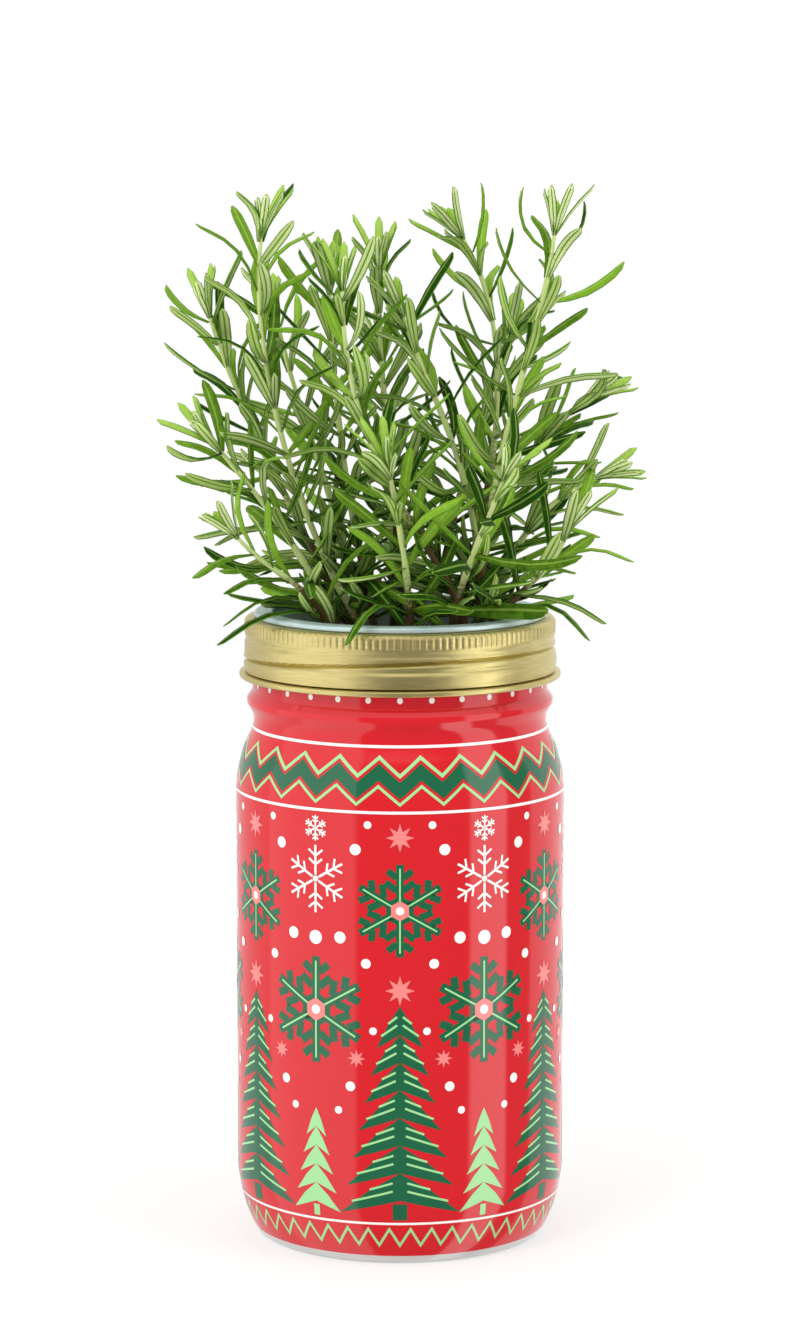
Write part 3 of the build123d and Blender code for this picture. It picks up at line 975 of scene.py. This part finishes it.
def add_stem(bm, shoot):
    """A tapering stem: a ring of edges drawn out along the shoot, from below the soil to its tip."""
    root, axis = shoot_at(shoot, 0)
    stations = [(root - Vector((0, 0, root_depth)), axis, root_radius)]
    for i in range(stem_rings + 1):
        point, axis = shoot_at(shoot, i / stem_rings)
        swell = 1 + 0.12 * math.sin(5.3 * i)
        stations.append((point, axis, swell * (root_radius + (tip_radius - root_radius) * i / stem_rings)))
    blade_map = bm.loops.layers.uv["blade"]
    made = bmesh.ops.create_circle(bm, segments=stem_sides, radius=1)
    ring = made["verts"]
    edges = list({edge for vert in ring for edge in vert.link_edges})
    shape = [vert.co.copy() for vert in ring]
    for i, (point, axis, radius) in enumerate(stations):
        if i > 0:
            drawn = bmesh.ops.extrude_edge_only(bm, edges=edges)["geom"]
            edges = [part for part in drawn if isinstance(part, bmesh.types.BMEdge) and part.is_boundary]
            new_verts = [part for part in drawn if isinstance(part, bmesh.types.BMVert)]
            new_faces = [part for part in drawn if isinstance(part, bmesh.types.BMFace)]
            old_ring = set(ring)
            ring = [next(e.other_vert(v) for e in v.link_edges if e.other_vert(v) in new_verts) for v in ring]
            edges = [edge for edge in edges if not (set(edge.verts) & old_ring)]
            for face in new_faces:
                face.material_index = 2
                face.smooth = True
                for loop in face.loops:
                    loop[blade_map].uv = ((i - (loop.vert in old_ring)) / len(stations), 0.5)
        turn = Vector((0, 0, 1)).rotation_difference(axis).to_matrix()
        for vert, corner in zip(ring, shape):
            vert.co = point + turn @ corner * radius
    cap = bm.faces.new(ring)
    cap.material_index = 2


# Rosemary leaf, upper side: dark leathery green with a paler groove down the middle and a soft gloss
leaf_top, top_shader = new_finish("rosemary_leaf_top", {"Roughness": 0.42, "Specular IOR Level": 0.06})
top_map = node(leaf_top, "ShaderNodeUVMap", {}, uv_map="blade")
top_split = node(leaf_top, "ShaderNodeSeparateXYZ", {0: top_map.outputs[0]})
top_tone = node(leaf_top, "ShaderNodeAttribute", {}, attribute_name="tone")
top_place = node(leaf_top, "ShaderNodeTexCoord", {})
leaf_mottle_width = 2.2 * metre
top_mottle = node(
    leaf_top,
    "ShaderNodeTexNoise",
    {"Vector": top_place.outputs["Object"], "Scale": 1 / leaf_mottle_width, "Detail": 3.0},
)
top_age = node(
    leaf_top,
    "ShaderNodeMath",
    {0: top_mottle.outputs[0], 1: 0.5, 2: top_tone.outputs["Fac"]},
    operation="MULTIPLY_ADD",
)
top_old = node(
    leaf_top,
    "ShaderNodeMapRange",
    {"Value": top_age.outputs[0], "From Min": 0.2, "From Max": 0.8},
)
top_young = node(
    leaf_top,
    "ShaderNodeMapRange",
    {"Value": top_age.outputs[0], "From Min": 0.85, "From Max": 1.35},
)
top_green = node(
    leaf_top,
    "ShaderNodeMix",
    {0: top_old.outputs[0], 6: colour("1C4200"), 7: colour("76A228")},
    data_type="RGBA",
)
top_fresh = node(
    leaf_top,
    "ShaderNodeMix",
    {0: top_young.outputs[0], 6: top_green.outputs[2], 7: colour("A6C65C")},
    data_type="RGBA",
)
top_off_middle = node(
    leaf_top,
    "ShaderNodeMath",
    {0: top_split.outputs["Y"], 1: 0.5},
    operation="SUBTRACT",
)
top_distance = node(leaf_top, "ShaderNodeMath", {0: top_off_middle.outputs[0]}, operation="ABSOLUTE")
top_groove = node(
    leaf_top,
    "ShaderNodeMapRange",
    {"Value": top_distance.outputs[0], "From Min": 0.03, "From Max": 0.12, "To Min": 0.45, "To Max": 0.0},
)
top_colour = node(
    leaf_top,
    "ShaderNodeMix",
    {0: top_groove.outputs[0], 6: top_fresh.outputs[2], 7: colour("A6C65A")},
    data_type="RGBA",
)
top_bump = node(
    leaf_top,
    "ShaderNodeBump",
    {"Height": top_mottle.outputs[0], "Strength": 0.25, "Distance": 0.2 * metre},
)
leaf_top.node_tree.links.new(top_colour.outputs[2], top_shader.inputs["Base Color"])
leaf_top.node_tree.links.new(top_bump.outputs[0], top_shader.inputs["Normal"])

# Rosemary leaf, underside: pale and felted with fine hairs, with a raised green midrib
under_gloss = {"Roughness": 0.75, "Specular IOR Level": 0.2}
leaf_under, under_shader = new_finish("rosemary_leaf_underside", under_gloss)
under_map = node(leaf_under, "ShaderNodeUVMap", {}, uv_map="blade")
under_split = node(leaf_under, "ShaderNodeSeparateXYZ", {0: under_map.outputs[0]})
under_tone = node(leaf_under, "ShaderNodeAttribute", {}, attribute_name="tone")
under_pale = node(
    leaf_under,
    "ShaderNodeMix",
    {0: under_tone.outputs["Fac"], 6: colour("B6CE74"), 7: colour("DFECAC")},
    data_type="RGBA",
)
under_off_middle = node(
    leaf_under,
    "ShaderNodeMath",
    {0: under_split.outputs["Y"], 1: 0.5},
    operation="SUBTRACT",
)
under_distance = node(leaf_under, "ShaderNodeMath", {0: under_off_middle.outputs[0]}, operation="ABSOLUTE")
under_margin = node(
    leaf_under,
    "ShaderNodeMapRange",
    {"Value": under_distance.outputs[0], "From Min": 0.36, "From Max": 0.46},
)
under_rib = node(
    leaf_under,
    "ShaderNodeMapRange",
    {"Value": under_distance.outputs[0], "From Min": 0.05, "From Max": 0.12, "To Min": 1.0, "To Max": 0.0},
)
under_edge = node(
    leaf_under,
    "ShaderNodeMath",
    {0: under_margin.outputs[0], 1: under_rib.outputs[0]},
    operation="MAXIMUM",
)
under_colour = node(
    leaf_under,
    "ShaderNodeMix",
    {0: under_edge.outputs[0], 6: under_pale.outputs[2], 7: colour("608C28")},
    data_type="RGBA",
)
leaf_under.node_tree.links.new(under_colour.outputs[2], under_shader.inputs["Base Color"])

# Rosemary stem: cracked brown bark at the foot that turns to smooth pale green wood above
stem_bark, bark_shader = new_finish("rosemary_stem_bark", {"Roughness": 0.7})
bark_map = node(stem_bark, "ShaderNodeUVMap", {}, uv_map="blade")
bark_split = node(stem_bark, "ShaderNodeSeparateXYZ", {0: bark_map.outputs[0]})
bark_place = node(stem_bark, "ShaderNodeTexCoord", {})
bark_crack_width = 0.8 * metre
bark_crack = node(
    stem_bark,
    "ShaderNodeTexNoise",
    {"Vector": bark_place.outputs["Object"], "Scale": 1 / bark_crack_width, "Detail": 4.0},
)
bark_age = node(
    stem_bark,
    "ShaderNodeMath",
    {0: bark_crack.outputs[0], 1: 0.3, 2: bark_split.outputs["X"]},
    operation="MULTIPLY_ADD",
)
bark_wood = node(stem_bark, "ShaderNodeAttribute", {}, attribute_name="tone")
bark_past = node(
    stem_bark,
    "ShaderNodeMath",
    {0: bark_age.outputs[0], 1: bark_wood.outputs["Fac"]},
    operation="SUBTRACT",
)
bark_share = node(
    stem_bark,
    "ShaderNodeMapRange",
    {"Value": bark_past.outputs[0], "From Min": 0.1, "From Max": 0.25},
)
bark_colour = node(
    stem_bark,
    "ShaderNodeMix",
    {0: bark_share.outputs[0], 6: colour("5B4420"), 7: colour("C4D488")},
    data_type="RGBA",
)
bark_bump = node(
    stem_bark,
    "ShaderNodeBump",
    {"Height": bark_crack.outputs[0], "Strength": 0.6, "Distance": 0.3 * metre},
)
stem_bark.node_tree.links.new(bark_colour.outputs[2], bark_shader.inputs["Base Color"])
stem_bark.node_tree.links.new(bark_bump.outputs[0], bark_shader.inputs["Normal"])

leaf_draw = random.Random(5)
for number, shoot in enumerate(shoots):
    plant = bmesh.new()
    plant.loops.layers.uv.new("blade")
    plant.verts.layers.float.new("tone")
    shares = np.linspace(0, 1, 61)
    points = np.array([shoot_at(shoot, float(t))[0] for t in shares])
    run = np.concatenate(([0], np.cumsum(np.linalg.norm(np.diff(points, axis=0), axis=1))))
    add_stem(plant, shoot)
    wood = plant.verts.layers.float["tone"]
    for vert in plant.verts:
        vert[wood] = bark_low + bark_vary * (number * golden_share % 1)
    for owner, station, tip, arch, breadth, roll in low_leaves:
        if owner == number:
            base = shoot_at(shoot, float(np.interp(station, run, shares)))[0]
            end = Vector((tip[0], tip[1], soil_height + tip[2]))
            heading = (end - base).normalized()
            lift = heading.cross(Vector((0, 0, 1))).cross(heading).normalized()
            lift = Matrix.Rotation(math.radians(roll), 3, heading) @ lift
            length = (end - base).length
            add_leaf(plant, needle, base, heading, lift, length, leaf_width * breadth, arch, low_tone)
    station = bare_height
    pair = 0
    while station < run[-1]:
        point, axis = shoot_at(shoot, float(np.interp(station, run, shares)))
        share = station / run[-1]
        turn = math.radians(twist_per_node * pair + twist_per_shoot * number)
        first = axis.cross(Vector((0, 1, 0))).normalized()
        second = axis.cross(first)
        vary = math.sin(1.7 * pair + 2.3 * number)
        for half_turn in (0, math.pi):
            side = first * math.cos(turn + half_turn) + second * math.sin(turn + half_turn)
            lean = leaf_lean_low + (leaf_lean_tip - leaf_lean_low) * share
            lean += leaf_lean_vary * (vary + leaf_draw.uniform(-0.5, 0.5))
            length = leaf_length_low + (leaf_length_tip - leaf_length_low) * share
            length += leaf_length_vary * (vary + leaf_draw.uniform(-0.5, 0.5))
            arch = leaf_arch * (0.4 + math.cos(2.9 * pair + number))
            arch += leaf_draw.uniform(-leaf_arch_vary, leaf_arch_vary)
            roll = math.radians(leaf_draw.uniform(-leaf_roll_vary, leaf_roll_vary))
            bend = leaf_draw.uniform(-leaf_bend_vary, leaf_bend_vary)
            width = leaf_width * leaf_draw.uniform(0.8, 1.1)
            base = point + side * tip_radius / 2
            tone = 0.25 * share + leaf_draw.uniform(-0.45, 0.6)
            for shift, shorter in leaf_tries:
                angle = math.radians(lean + shift)
                heading = axis * math.cos(angle) + side * math.sin(angle)
                lift = axis * math.sin(angle) - side * math.cos(angle)
                lift = Matrix.Rotation(roll, 3, heading) @ lift
                place = (base, heading, lift, length * shorter)
                if has_room(*place, arch):
                    add_leaf(plant, needle, *place, width, arch, tone, bend)
                    break
            if leaf_draw.random() < tuft_share:
                angle = math.radians(lean * 0.6 + leaf_draw.uniform(-10, 10))
                tuft_side = Matrix.Rotation(math.radians(leaf_draw.uniform(25, 60)), 3, axis) @ side
                heading = axis * math.cos(angle) + tuft_side * math.sin(angle)
                lift = axis * math.sin(angle) - tuft_side * math.cos(angle)
                place = (base, heading, lift, length * leaf_draw.uniform(0.35, 0.6))
                if has_room(*place, arch):
                    add_leaf(plant, tuft_needle, *place, width * tuft_width, arch, tone + tuft_paler)
        station += node_gap_low + (node_gap_tip - node_gap_low) * share
        pair += 1
    end, axis = shoot_at(shoot, 1)
    for i in range(tip_leaves):
        turn = math.radians(twist_per_node * i / 2 + twist_per_shoot * number)
        first = axis.cross(Vector((0, 1, 0))).normalized()
        side = Matrix.Rotation(turn, 3, axis) @ first
        angle = math.radians(8 + 5 * i)
        heading = axis * math.cos(angle) + side * math.sin(angle)
        lift = axis * math.sin(angle) - side * math.cos(angle)
        place = (end, heading, lift, 10 + 1.6 * i)
        add_leaf(plant, tuft_needle, *place, leaf_width * tuft_width, leaf_arch / 2, tip_tone)
    finishes = [leaf_top, leaf_under, stem_bark]
    stem_name = f"rosemary_stem_{number + 1:02d}"
    add_piece(f"{stem_name}_leafy", plant, finishes, "grow_cup", [stem_name], crease=180)

# Floor and light
# A pale floor in a white studio: a wide soft box at the left, a narrow one at the right, one overhead and
# two lamps for the shadows. The room behind the camera is dim, so that the film keeps its colour between
# the soft boxes. The floor glows white to the camera and isn't mirrored in the film.
floor_bmesh = bmesh.new()
bmesh.ops.create_grid(floor_bmesh, x_segments=1, y_segments=1, size=6)
floor_mesh = bpy.data.meshes.new("floor")
floor_bmesh.to_mesh(floor_mesh)
floor_bmesh.free()
floor = bpy.data.objects.new("floor", floor_mesh)
bpy.context.collection.objects.link(floor)
floor_paint, floor_shader = new_finish("pale_floor", {"Base Color": colour("F4F4F2"), "Roughness": 0.8})
floor_mesh.materials.append(floor_paint)
floor_path = node(floor_paint, "ShaderNodeLightPath", {})
floor_seen = node(
    floor_paint,
    "ShaderNodeMath",
    {0: floor_path.outputs["Is Camera Ray"], 1: floor_path.outputs["Is Transmission Ray"]},
    operation="MAXIMUM",
)
floor_place = node(floor_paint, "ShaderNodeTexCoord", {})
floor_reach = node(
    floor_paint,
    "ShaderNodeVectorMath",
    {0: floor_place.outputs["Object"]},
    operation="LENGTH",
)
floor_white = node(
    floor_paint,
    "ShaderNodeMapRange",
    {"Value": floor_reach.outputs["Value"], "From Min": 0.05, "From Max": 0.35, "To Min": 0.6, "To Max": 1.0},
    interpolation_type="SMOOTHSTEP",
)
floor_share = node(
    floor_paint,
    "ShaderNodeMath",
    {0: floor_seen.outputs[0], 1: floor_white.outputs[0]},
    operation="MULTIPLY",
)
floor_glow = node(floor_paint, "ShaderNodeEmission", {"Color": (1, 1, 1, 1), "Strength": 1.0})
floor_mix = node(
    floor_paint,
    "ShaderNodeMixShader",
    {0: floor_share.outputs[0], 1: floor_shader.outputs[0], 2: floor_glow.outputs[0]},
)
floor_clear = node(floor_paint, "ShaderNodeBsdfTransparent", {})
floor_mirrored = node(
    floor_paint,
    "ShaderNodeMixShader",
    {0: floor_path.outputs["Is Glossy Ray"], 1: floor_mix.outputs[0], 2: floor_clear.outputs[0]},
)
floor_paint.node_tree.links.new(
    floor_mirrored.outputs[0], floor_paint.node_tree.nodes["Material Output"].inputs["Surface"]
)

studio = bpy.data.worlds.new("studio")
studio.use_nodes = True
bpy.context.scene.world = studio
studio_path = node(studio, "ShaderNodeLightPath", {})
studio_way = node(studio, "ShaderNodeTexCoord", {})
studio_split = node(studio, "ShaderNodeSeparateXYZ", {0: studio_way.outputs["Generated"]})
studio_front = node(studio, "ShaderNodeMath", {0: studio_split.outputs["Y"], 1: -1.0}, operation="MULTIPLY")
studio_angle = node(
    studio,
    "ShaderNodeMath",
    {0: studio_split.outputs["X"], 1: studio_front.outputs[0]},
    operation="ARCTAN2",
)
front_strength = 0.34
walls = [
    ("left box", -104, -31, 1.4),
    ("right box", 50, 80, 2.3),
    ("left backdrop", -181, -104, 0.85),
    ("right backdrop", 104, 181, 1.1),
]
wall_edge = math.radians(1.5)
studio_sum = None
for label, start, end, strength in walls:
    rise = node(
        studio,
        "ShaderNodeMapRange",
        {
            "Value": studio_angle.outputs[0],
            "From Min": math.radians(start) - wall_edge,
            "From Max": math.radians(start) + wall_edge,
            "To Max": strength - front_strength,
        },
        label=label,
    )
    fall = node(
        studio,
        "ShaderNodeMapRange",
        {
            "Value": studio_angle.outputs[0],
            "From Min": math.radians(end) - wall_edge,
            "From Max": math.radians(end) + wall_edge,
            "To Min": 1.0,
            "To Max": 0.0,
        },
    )
    before = studio_sum.outputs[0] if studio_sum else front_strength
    studio_sum = node(
        studio,
        "ShaderNodeMath",
        {0: rise.outputs[0], 1: fall.outputs[0], 2: before},
        operation="MULTIPLY_ADD",
    )
overhead_strength = 1.2
overhead_edge = math.radians(38)
overhead = node(
    studio,
    "ShaderNodeMapRange",
    {
        "Value": studio_split.outputs["Z"],
        "From Min": math.sin(overhead_edge - wall_edge),
        "From Max": math.sin(overhead_edge + wall_edge),
    },
    label="overhead box",
)
studio_level = node(
    studio,
    "ShaderNodeMix",
    {0: overhead.outputs[0], 2: studio_sum.outputs[0], 3: overhead_strength},
)
studio_shown = node(
    studio,
    "ShaderNodeMath",
    {0: studio_level.outputs[0], 1: studio_path.outputs["Is Camera Ray"]},
    operation="MAXIMUM",
)
studio.node_tree.nodes["Background"].inputs["Color"].default_value = (1, 1, 1, 1)
studio.node_tree.links.new(studio_shown.outputs[0], studio.node_tree.nodes["Background"].inputs["Strength"])

top_boxes = [
    ("top_left_box", (-0.5, -0.75, 0.95), 0.5, 0.5, 4.2),
    ("top_right_box", (0.6, -0.35, 1.0), 0.4, 0.4, 1.6),
]
plant_middle = Vector((0, 0, 0.2))
for name, place, width, height, power in top_boxes:
    light = bpy.data.lights.new(name, "AREA")
    light.shape = "RECTANGLE"
    light.size = width
    light.size_y = height
    light.energy = power
    lamp = bpy.data.objects.new(name, light)
    lamp.location = place
    lamp.rotation_euler = (plant_middle - Vector(place)).to_track_quat("-Z", "Y").to_euler()
    lamp.visible_glossy = False
    bpy.context.collection.objects.link(lamp)

# Camera
# It stands in front of the jar, a little above its rim, and looks slightly down at it.
view = bpy.data.cameras.new("front_view")
view.lens = 113.3
view.sensor_width = 36
camera = bpy.data.objects.new("front_view", view)
camera.location = (0, -1.185, 0.3292)
camera.rotation_euler = (math.radians(82.05), 0, 0)
bpy.context.collection.objects.link(camera)
bpy.context.scene.camera = camera
bpy.context.scene.view_settings.view_transform = "Standard"
